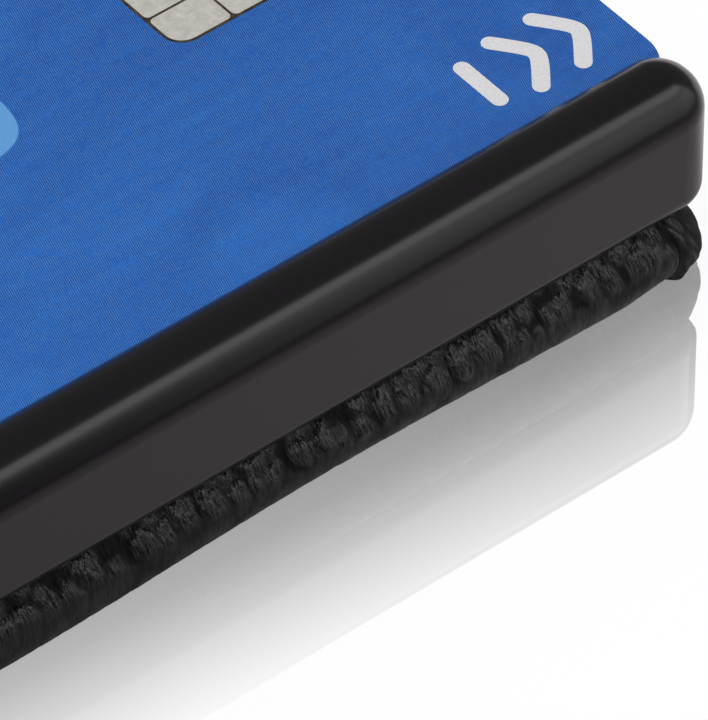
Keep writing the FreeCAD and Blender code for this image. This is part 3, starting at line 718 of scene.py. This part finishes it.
    parts, faces, start = (edge, under, top), [], 0
    for part in parts:
        faces += grid_faces(*part.shape[:2], start)
        start += part[..., 0].size
    points = np.concatenate([part.reshape(-1, 3) for part in parts])
    shades = (shade, under_grain, np.where(fade > 0, top_grain, 0.6))
    tauts = (taut, np.full_like(under_grain, 0.75), np.full_like(top_grain, 0.5))
    # The grain values carry the painted shade of pleats and gathered corners too.
    read = {"grain": shades, "taut": tauts}
    read = {key: np.concatenate([part.ravel() for part in read[key]]) for key in read}
    return mesh_object(name, points, faces, paint["leather"], 65, read, weld=0.002)


def fold_skin(skin):
    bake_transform(skin)


back_skin = leather_skin("back_leather_skin", 1, 0.15, True)
fold_skin(back_skin)
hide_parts("back_cover_leather", "spine_leather")
front_skin = leather_skin("front_leather_skin", -1, 0.22, False)
fold_skin(front_skin)
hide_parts("front_cover_leather", "spine_leather")


# ---- flat pieces


def rounded(x0, x1, y0, y1, *radii, steps=10):
    """A rectangle's outline, anticlockwise from its lower left corner, with a radius for each
    corner or one for all."""
    radii = radii * 4 if len(radii) == 1 else radii
    corners = ((x0, y0, 1, 1), (x1, y0, -1, 1), (x1, y1, -1, -1), (x0, y1, 1, -1))
    points = []
    for (x, y, in_x, in_y), start, r in zip(corners, (1, 1.5, 0, 0.5), radii):
        for turn in start * math.pi + np.linspace(0, math.pi / 2, steps if r else 1):
            across = x + in_x * r + r * math.cos(turn)
            points.append((across, y + in_y * r + r * math.sin(turn)))
    return np.array(points)


def offset(outline, inward):
    """The outline moved in from its edge."""
    ahead = np.roll(outline, -1, 0) - outline
    ahead /= np.linalg.norm(ahead, axis=1)[:, None]
    normal = np.stack([-ahead[:, 1], ahead[:, 0]], 1)
    both = normal + np.roll(normal, 1, 0)
    both /= np.linalg.norm(both, axis=1)[:, None]
    return outline + both * (inward / np.clip((both * normal).sum(1), 0.3, 1))[:, None]


def cut_top(bm, outline, step, high):
    """Cuts the last face into squares, so that it can be raised and sunk."""
    bm.faces.ensure_lookup_table()
    top = [bm.faces[-1]]
    for axis in (0, 1):
        first, last = outline[:, axis].min(), outline[:, axis].max()
        normal = Vector((1 - axis, axis, 0))
        for at in np.linspace(first, last, int((last - first) / step) + 2)[1:-1]:
            rim = {v for f in top for v in f.verts} | {e for f in top for e in f.edges}
            place = normal * at * MM
            geom = top + list(rim)
            bmesh.ops.bisect_plane(bm, geom=geom, plane_co=place, plane_no=normal, dist=1e-7)
            level = [f for f in bm.faces if f.normal.z > 0.999]
            top = [f for f in level if min(v.co.z for v in f.verts) > (high - 1e-4) * MM]


def panel(name, outline, low, high, radius, finishes, slot, body, step=None, relief=None, under=0):
    """A closed plate with rounded rims.  Three finishes are the top's, rim's and bottom's."""
    rings = [(d, low + drop) for d, drop in fillet(under, 3)[::-1]] if under else [(0, low)]
    rings += [(d, high - drop) for d, drop in fillet(radius, 5)]
    around = len(outline)
    n = np.arange(around)
    faces, finish = [], []
    for ring in range(len(rings) - 1):
        a, b = ring * around + n, ring * around + np.roll(n, -1)
        faces += np.stack([a, b, b + around, a + around], 1).tolist()
        finish += [1 if rings[ring + 1][1] < high - radius * 0.7 else 0] * around
    faces += [n[::-1].tolist(), ((len(rings) - 1) * around + n).tolist()]
    finish += [2, 0]
    points = [np.column_stack([offset(outline, d), np.full(around, z)]) for d, z in rings]
    mesh = new_mesh(name, np.concatenate(points), faces, [paint[f] for f in finishes])
    if len(finishes) == 3:
        mesh.polygons.foreach_set("material_index", finish)
    bm = bmesh.new()
    bm.from_mesh(mesh)
    if step:
        cut_top(bm, outline, step, high)
    if relief:
        place = np.array([v.co for v in bm.verts]) / MM
        height = ease(place[:, 2], low + 0.3 * (high - low), high)
        lift = relief(place[:, 0], place[:, 1]) * height
        for vertex, change in zip(bm.verts, lift):
            vertex.co.z += change * MM
    made = settle(name, mesh, bm, 38)
    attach(made, body)
    return made


STITCH, STITCH_GAP = 2.1, 0.8  # a stitch's length, and the gap to the next
STITCH_SIDES, STITCH_RINGS = 8, 9


def stitches(name, route, height, radius, body):
    """A row of stitches along a route, each a short thread whose ends dive into the leather."""
    legs = np.linalg.norm(np.diff(route, axis=0), axis=1)
    total = np.concatenate([[0], np.cumsum(legs)])
    count = int(total[-1] / (STITCH + STITCH_GAP))
    pitch = total[-1] / count

    def on_route(at):
        return np.array([np.interp(at, total, route[:, axis]) for axis in (0, 1)])

    points, faces = [], []
    turn = np.linspace(0, 2 * math.pi, STITCH_SIDES + 1)[:-1]
    for k in range(count):
        faces += tube_faces(STITCH_RINGS, STITCH_SIDES, len(points))
        for s in np.linspace(-1, 1, STITCH_RINGS):
            at = (k + 0.5) * pitch + s * STITCH / 2
            x, y = on_route(at)
            ahead = on_route(at + 0.05) - on_route(at - 0.05)
            ahead_x, ahead_y = ahead / math.hypot(*ahead)
            skew = 0.1 * s * (chance(k, 3, 9) - 0.3)
            r = radius * math.sqrt(max(1 - s**4 * 0.8, 0.05))
            z = height + radius * (0.55 - 1.9 * s**4)
            for a in turn:
                aside = r * math.cos(a) + skew
                points.append((x - ahead_y * aside, y + ahead_x * aside, z + r * math.sin(a)))
    made = mesh_object(name, points, faces, paint["thread"], 80)
    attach(made, body)
    return made


def seam(x0, x1, y0, y1, radius):
    """A line of stitching round three sides of a rectangle, open at x1."""
    points = rounded(x0, x1, y0, y1, radius, 0, 0, radius)
    return np.roll(points, len(points) // 2, axis=0)


# The lining of the spine and of the front cover, and the note pocket on it.
PLAY = 0.06  # between the front lining and the turned-in leather round it
SPINE_PLAY = 0.3
BED, SUNK = 0.01, 0.05  # a lining's bottom above its CAD solid's, and its top below
spine_lining_y = cloth_low[1], cloth_high[1]
outline = rounded(SPINE_PLAY - SPINE_X, SPINE_X - SPINE_PLAY, *spine_lining_y, 0.6)
low, high = cloth_low[2] + BED, SPINE_Z - SUNK
spine_lining = panel(
    "spine_lining_cloth", outline, low, high, 0.18, ["woven"], "lining", "spine"
)
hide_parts("spine_lining")
(front_x0, front_y0, front_z0), (front_x1, front_y1, front_z1) = cad("front_cover_lining")
outline = rounded(front_x0 + PLAY, front_x1 - PLAY, front_y0 + PLAY, front_y1 - PLAY, 1.2)
low, high = front_z0 + BED, front_z1 - SUNK
front_lining = panel(
    "front_lining_cloth", outline, low, high, 0.2, ["woven"], "lining", "front_half"
)
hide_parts("front_cover_lining")

(pocket_x0, pocket_y0, pocket_z0), (pocket_x1, pocket_y1, pocket_z1) = cad("note_pocket")
SEAM = 1.7  # the pocket's edge to its stitching
NOTCH_RADIUS, NOTCH_OUT = 9, 3  # the thumb notch, and its centre beyond the pocket's edge
swing = math.acos(NOTCH_OUT / NOTCH_RADIUS)
notch = [
    (pocket_x1 + NOTCH_OUT - NOTCH_RADIUS * math.cos(a), NOTCH_RADIUS * math.sin(a))
    for a in np.linspace(-swing, swing, 41)
]
pocket_outline = rounded(pocket_x0, pocket_x1, pocket_y0, pocket_y1, 2, 0.5, 0.5, 2)
at_notch = np.argmax((pocket_outline[:, 0] > pocket_x1 - 0.6) & (pocket_outline[:, 1] > 0))
pocket_outline = np.insert(pocket_outline, at_notch, notch, axis=0)


def pocket_relief(x, y):
    """The pocket's leather: a little full in the middle, pressed down along its seam."""
    inside = np.minimum(x - pocket_x0, np.minimum(y - pocket_y0, pocket_y1 - y))
    full = ease(inside, SEAM + 0.4, 15)
    wrinkle = 0.05 * lumps(x * 0.16, y * 0.1, 21) + 0.03 * lumps(x * 0.5, y * 0.3, 22)
    mouth = 0.12 * bell(pocket_x1 - x, 1.2, 0.8)
    return 0.3 * full + wrinkle * full - 0.16 * bell(inside, SEAM, 0.45) + mouth


place, slot = (pocket_outline, pocket_z0 - 0.04, pocket_z1, 0.35), "pocket_leather"
pocket = panel("note_pocket_leather", *place, ["pocket"], slot, "front_half", 1, pocket_relief)
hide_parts("note_pocket")
pocket_route = seam(pocket_x0 + SEAM, pocket_x1 + SEAM, pocket_y0 + SEAM, pocket_y1 - SEAM, 1.2)
pocket_route[[0, -1], 0] = pocket_x1 - 1
pocket_seam = stitches(
    "pocket_stitching", pocket_route, pocket_z1 - 0.12, 0.21, "front_half"
)

# Stitching along the front cover's turned-in border.
BORDER_SEAM = 2.55  # the cover's edge to its stitching
cover_route = seam(
    BORDER_SEAM - COVER_X1, -BORDER_X, BORDER_SEAM - COVER_Y, COVER_Y - BORDER_SEAM, 2.4
)
stitches("cover_stitching", cover_route, COVER_Z - 0.02, 0.2, "front_half")


# ---- card

CARD_CORNER, CARD_RIM = 2.88, 0.07
(card_x0, card_y0, card_z0), (card_x1, card_y1, card_z1) = cad("payment_card")
outline = rounded(card_x0, card_x1, card_y0, card_y1, CARD_CORNER, steps=16)
place, finishes = (outline, card_z0, card_z1, CARD_RIM), ["face", "edge", "back"]
card = panel("printed_card", *place, finishes, "card_plastic", "card", under=CARD_RIM)
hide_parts("payment_card")


def on_card(name, outline, sunk, proud, rim, finish, slot):
    """A thin piece on the card's face, let in a little and standing a little proud."""
    low, high = card_z1 - sunk, card_z1 + proud
    return panel(name, outline, low, high, rim, [finish], slot, "card")


(chip_x0, chip_y0, _), (chip_x1, chip_y1, _) = cad("card_chip")
FRAME = 0.19  # the dark base shows this far round the contacts
GAP = 0.08  # half the line between two contacts
SIDE_CONTACT, END_CONTACT = 3.88, 2.73  # an outer contact's width, and an end one's height
base_outline = rounded(
    chip_x0 - FRAME, chip_x1 + FRAME, chip_y0 - FRAME, chip_y1 + FRAME, 1.4, steps=12
)
resin = on_card("chip_base", base_outline, 0.12, 0.008, 0.01, "resin", "chip_metal")
columns = (chip_x0, chip_x0 + SIDE_CONTACT, chip_x1 - SIDE_CONTACT, chip_x1)
lines = (chip_y0, chip_y0 + END_CONTACT, chip_y1 - END_CONTACT, chip_y1)


# The module's own corners, by column and row; a contact's other corners are nearly square.
OUTER = {(0, 0): 0, (2, 0): 1, (2, 2): 2, (0, 2): 3}
contacts = [(1, 0, 3, [0.35] * 4)]  # column, first line, last line, radii
for c, r in [(c, r) for c in (0, 2) for r in range(3)]:
    radii = [1.15 if OUTER.get((c, r)) == corner else 0.3 for corner in range(4)]
    contacts.append((c, r, r + 1, radii))
for number, (column, first, last, radii) in enumerate(contacts):
    x0, x1 = columns[column] + GAP * (column > 0), columns[column + 1] - GAP * (column < 2)
    y0, y1 = lines[first] + GAP * (first > 0), lines[last] - GAP * (last < 3)
    contact_outline = rounded(x0, x1, y0, y1, *radii, steps=8)
    contact = f"chip_contact_{number}"
    on_card(contact, contact_outline, 0.02, 0.022, 0.012, "contact", "chip_metal")
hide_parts("card_chip")


# The plain mark near the card's corner: two arrows and a bar.
STROKE, MARK_Y = 1.02, -21.1
ARROW_TIPS, ARROW_HALF, ARROW_DEEP, ARROW_BLUNT = (94.5, 91.5), 2.2, 1.8, 0.05
BAR_X, BAR_HALF = 87.6, 1.6


def stroke(name, x, y):
    """A printed stroke with round ends along a line of points."""
    path = np.column_stack([x, y])
    along = np.gradient(path, axis=0)
    along /= np.linalg.norm(along, axis=1)[:, None]
    aside = np.stack([-along[:, 1], along[:, 0]], 1) * STROKE / 2
    turn = np.linspace(-math.pi / 2, math.pi / 2, 12)[1:-1, None]
    far, near = (
        path[at] + sense * (np.cos(turn) * along[at] * STROKE / 2 + np.sin(turn) * aside[at])
        for at, sense in ((-1, 1), (0, -1))
    )
    outline = np.concatenate([path - aside, far, (path + aside)[::-1], near])
    on_card(name, outline, 0.01, 0.012, 0.008, "ink", "card_plastic")


for number, tip in enumerate(ARROW_TIPS):
    t = np.linspace(-1, 1, 25)
    back = np.sqrt(t**2 + ARROW_BLUNT) - math.sqrt(ARROW_BLUNT)
    stroke(f"printed_arrow_{number}", tip - ARROW_DEEP * back, MARK_Y + ARROW_HALF * t)
stroke("printed_bar", np.full(9, BAR_X), MARK_Y + BAR_HALF * np.linspace(-1, 1, 9))


# ---- lift springs

# Round the strip: side, lower or upper face, and 1 on that face or 0 on the side.
SECTION = ((-1, 0, 0), (-1, 0, 1), (1, 0, 1), (1, 0, 0))
SECTION += ((1, 1, 0), (1, 1, 1), (-1, 1, 1), (-1, 1, 0))

# A sprung strip has a flat foot, and a bow under the plate, narrower at its crest.
foot, thick, corner, rim, waist = 7, 0.3, 1.1, 0.08, 0.2
for node in ("near_lift_spring", "far_lift_spring"):
    (x0, y0, z0), (x1, y1, z1) = cad(node)
    xs = spaced(x0, 0.12, x0 + corner, 0.9, x0 + foot, 0.45, x1 - corner, 0.12, x1)
    share = np.clip((xs - x0 - foot) / (x1 - x0 - foot), 0, 1)
    bow = z0 + (z1 - z0 - thick) * (1 - (2 * share - 1) ** 2)
    from_end = np.clip(np.minimum(xs - x0, x1 - xs), 0, corner)
    round_end = np.sqrt(np.clip(corner**2 - (corner - from_end) ** 2, 0.0004, None))
    half = ((y1 - y0) / 2 - corner + round_end) * (1 - waist * np.sin(math.pi * share) ** 2)
    points = []
    for x, w, z in zip(xs, half, bow):
        for side, up, flat in SECTION:
            y = (y1 + y0) / 2 + side * (w - rim * (1 - flat))
            points.append((x, y, z + up * thick + (-rim if up else rim) * flat))
    faces = tube_faces(len(xs), len(SECTION))
    strip = mesh_object(f"{node}_strip", points, faces, paint["spring"], 35)
    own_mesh(strip)
    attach(strip, "back_half")
    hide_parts(node)


# ---- finishes of the CAD nodes

for finish, dressed in {
    "rail": ("near_rail", "far_rail"),
    "cage": ("card_tray",),
    "plate": ("pressure_plate",),
    "screw": ("rail_screws",),
    "rivet": ("tray_rivets", "spring_rivets"),
    "spring": ("near_lift_spring", "far_lift_spring"),
    "foam": ("back_cover_foam", "front_cover_foam"),
    "board": ("back_cover_board", "front_cover_board", "spine_board"),
    "woven": ("back_cover_lining", "front_cover_lining", "spine_lining"),
    "pocket": ("note_pocket",),
    "face": ("payment_card",),
    "contact": ("card_chip",),
}.items():
    for node in dressed:
        nodes[node].data.materials.clear()
        nodes[node].data.materials.append(paint[finish])


# ---- floor, light and camera
# Lengths in this section are in metres.


def stage_material(name):
    """A material with an empty node tree, and that tree."""
    material = bpy.data.materials.new(name)
    material.use_nodes = True
    material.node_tree.nodes.remove(material.node_tree.nodes["Principled BSDF"])
    return material, Tree(material.node_tree)


def show(stage, shader):
    stage.feed(stage.tree.nodes["Material Output"], "Surface", shader)


QUAD = ((0, 0), (1, 0), (1, 1), (0, 1))


def stage_quad(name, points, material):
    mesh = bpy.data.meshes.new(name)
    mesh.from_pydata(points, [], [(0, 1, 2, 3)])
    for loop, corner in zip(mesh.uv_layers.new(name="uv").data, QUAD):
        loop.uv = corner
    mesh.materials.append(material)
    made = link(name, mesh)
    return made


def build_floor():
    """White and glossy: it mirrors what stands on it, less and less away from it.  Seen in the
    object's gloss it glows instead, at painted levels: painted light brightest just beyond the
    object and fading further out, painted shadow right at its edge, and painted light beyond the
    free end."""
    material, f = stage_material("floor")
    place = f.node("NewGeometry", "Position")
    x, y = (f.node("SeparateXYZ", axis, i0=place) for axis in "XY")
    beyond = (
        f.calc("MAXIMUM", f.calc("SUBTRACT", f.calc("ABSOLUTE", at), half * MM), 0)
        for at, half in ((x, COVER_X1), (y, COVER_Y))
    )
    away = f.calc("SQRT", f.plus(*(f.times(part, part) for part in beyond)))

    fade_end = 0.0142
    reach = f.times(away, f.range(x, 0.055, 0.082, 1.5, 1))
    near = f.plus(
        f.range(reach, 0, fade_end, 0.72, 0), f.range(reach, 0, fade_end, 0.28, 0, True)
    )
    mirror = f.times(near, f.range(x, 0.045, 0.085, 0.42, 0.65))
    # The glow the object's gloss sees is painted light: about half near the object, dim further
    # out, dimmer right at its edge as painted shadow, and bright beyond the free end.
    close, far = f.range(x, 0.05, 0.095, 0.44, 0.55), f.range(x, 0.08, 0.125, 0.05, 0.2)
    under = f.range(away, 0, 0.003, f.range(x, 0.06, 0.09, 0.5, 1), 1)
    painted_floor_light = f.times(f.range(away, 0.009, 0.045, close, far), under)
    beside = f.times(f.range(x, 0.095, 0.107, 0, 0.95), f.range(y, -0.05, -0.025))
    painted_floor_light = f.calc("MAXIMUM", painted_floor_light, beside)

    camera_ray, glossy_ray = f.rays("Camera", "Glossy")
    matt = f.node("BsdfDiffuse", Color=(0.28, 0.28, 0.28))
    glow = f.node("Emission", Color=(1, 1, 1), Strength=0.76)
    white = f.node("AddShader", i0=matt, i1=glow)
    gloss = f.node("BsdfGlossy", Color=(1, 1, 1), Roughness=0)
    shown = f.node("MixShader", i0=f.times(mirror, camera_ray), i1=white, i2=gloss)
    painted_floor_glow = f.node("Emission", Color=(1, 0.95, 0.98), Strength=painted_floor_light)
    show(f, f.node("MixShader", i0=glossy_ray, i1=shown, i2=painted_floor_glow))

    wide, below = 8, -1e-5
    stage_quad("floor", [(wide * (u - 0.5), wide * (v - 0.5), below) for u, v in QUAD], material)


build_floor()

# The world is white behind everything, soft and even for light, and dim in the object's gloss.
world = bpy.data.worlds.new("studio")
bpy.context.scene.world = world
world.use_nodes = True
w = Tree(world.node_tree)
camera_ray, singular_ray, glossy_ray = w.rays("Camera", "Singular", "Glossy")
shown = w.calc("MAXIMUM", camera_ray, singular_ray)
strength = w.range(shown, 0, 1, w.range(glossy_ray, 0, 1, 0.42, 0.16), 1)
background = world.node_tree.nodes["Background"]
w.feed(background, "Color", (1, 1, 1))
w.feed(background, "Strength", strength)

# The glowing panel that the object's gloss reflects stands on the floor, unseen itself.
WAY, AWAY = (0.446, -0.75), 0.5
ACROSS, UP = (-0.5, 0.5), (0, 0.9)
PEAK = 3  # a colour ramp holds 0 to 1, so levels are divided by this and multiplied after
TOP = ((0, 0), (0.32, 0), (0.42, 0.45), (0.52, 1.9), (0.9, 2))  # height, level
# Below that it glows to one side of a leaning line: by height, by place across, and the lean.
LOW = ((0, 0.5), (0.04, 0.55), (0.155, 0.8), (0.276, 1), (0.34, 0.85), (0.44, 0.15))
LOW += ((0.5, 0),)
SIDE = ((-0.018, 0), (0.014, 1.25), (0.5, 1.25))
LEAN = 0.16

material, p = stage_material("front_panel")
uv = p.node("TexCoord", "UV")
across, up = (p.node("SeparateXYZ", axis, i0=uv) for axis in "XY")
(left, right), (foot, head) = ACROSS, UP


def ramp(value, start, end, steps):
    colour = p.node("ValToRGB", i0=value)
    elements = colour.node.color_ramp.elements
    while len(elements) < len(steps):
        elements.new(0.5)
    for element, (at, level) in zip(elements, steps):
        element.position = (at - start) / (end - start)
        element.color = (*[level / PEAK] * 3, 1)
    return colour


lean = -LEAN * (head - foot) / (right - left)
leant = p.calc("MULTIPLY_ADD", up, lean, across)
side, low = ramp(leant, left, right, SIDE), ramp(up, foot, head, LOW)
both = p.vector("SCALE", i0=p.vector("MULTIPLY", i0=side, i1=low), Scale=PEAK)
colour = p.vector("ADD", i0=ramp(up, foot, head, TOP), i1=both)
show(p, p.node("Emission", Color=colour, Strength=PEAK))

away = Vector((*WAY, 0)).normalized()
aside = Vector((-away.y, away.x, 0))
points = [away * AWAY + aside * ACROSS[u] + Vector((0, 0, UP[v])) for u, v in QUAD]
made = stage_quad("front_panel", points, material)
made.visible_camera = made.visible_shadow = False


def turn_towards(made, direction):
    """Points a lamp or a camera along a direction."""
    made.rotation_mode = "QUATERNION"
    made.rotation_quaternion = Vector(direction).to_track_quat("-Z", "Y")


lamp_data = bpy.data.lights.new("overhead", "AREA")
lamp_data.size, lamp_data.energy = 0.45, 2.6
lamp = link("overhead", lamp_data)
lamp.location = (-0.1, 0.15, 0.8)
turn_towards(lamp, (0.1, -0.15, -0.8))
lamp.visible_glossy = lamp.visible_camera = False

camera_data = bpy.data.cameras.new("camera")
camera_data.lens, camera_data.sensor_width = 476.75, 36  # millimetres
camera_data.clip_start, camera_data.clip_end = 0.01, 20
camera = link("camera", camera_data)
camera.location = (-0.1564, -0.31069, 0.3691)
turn_towards(camera, (0.4461, 0.5495, -0.7064))
bpy.context.scene.camera = camera
bpy.context.scene.view_settings.view_transform = "Standard"
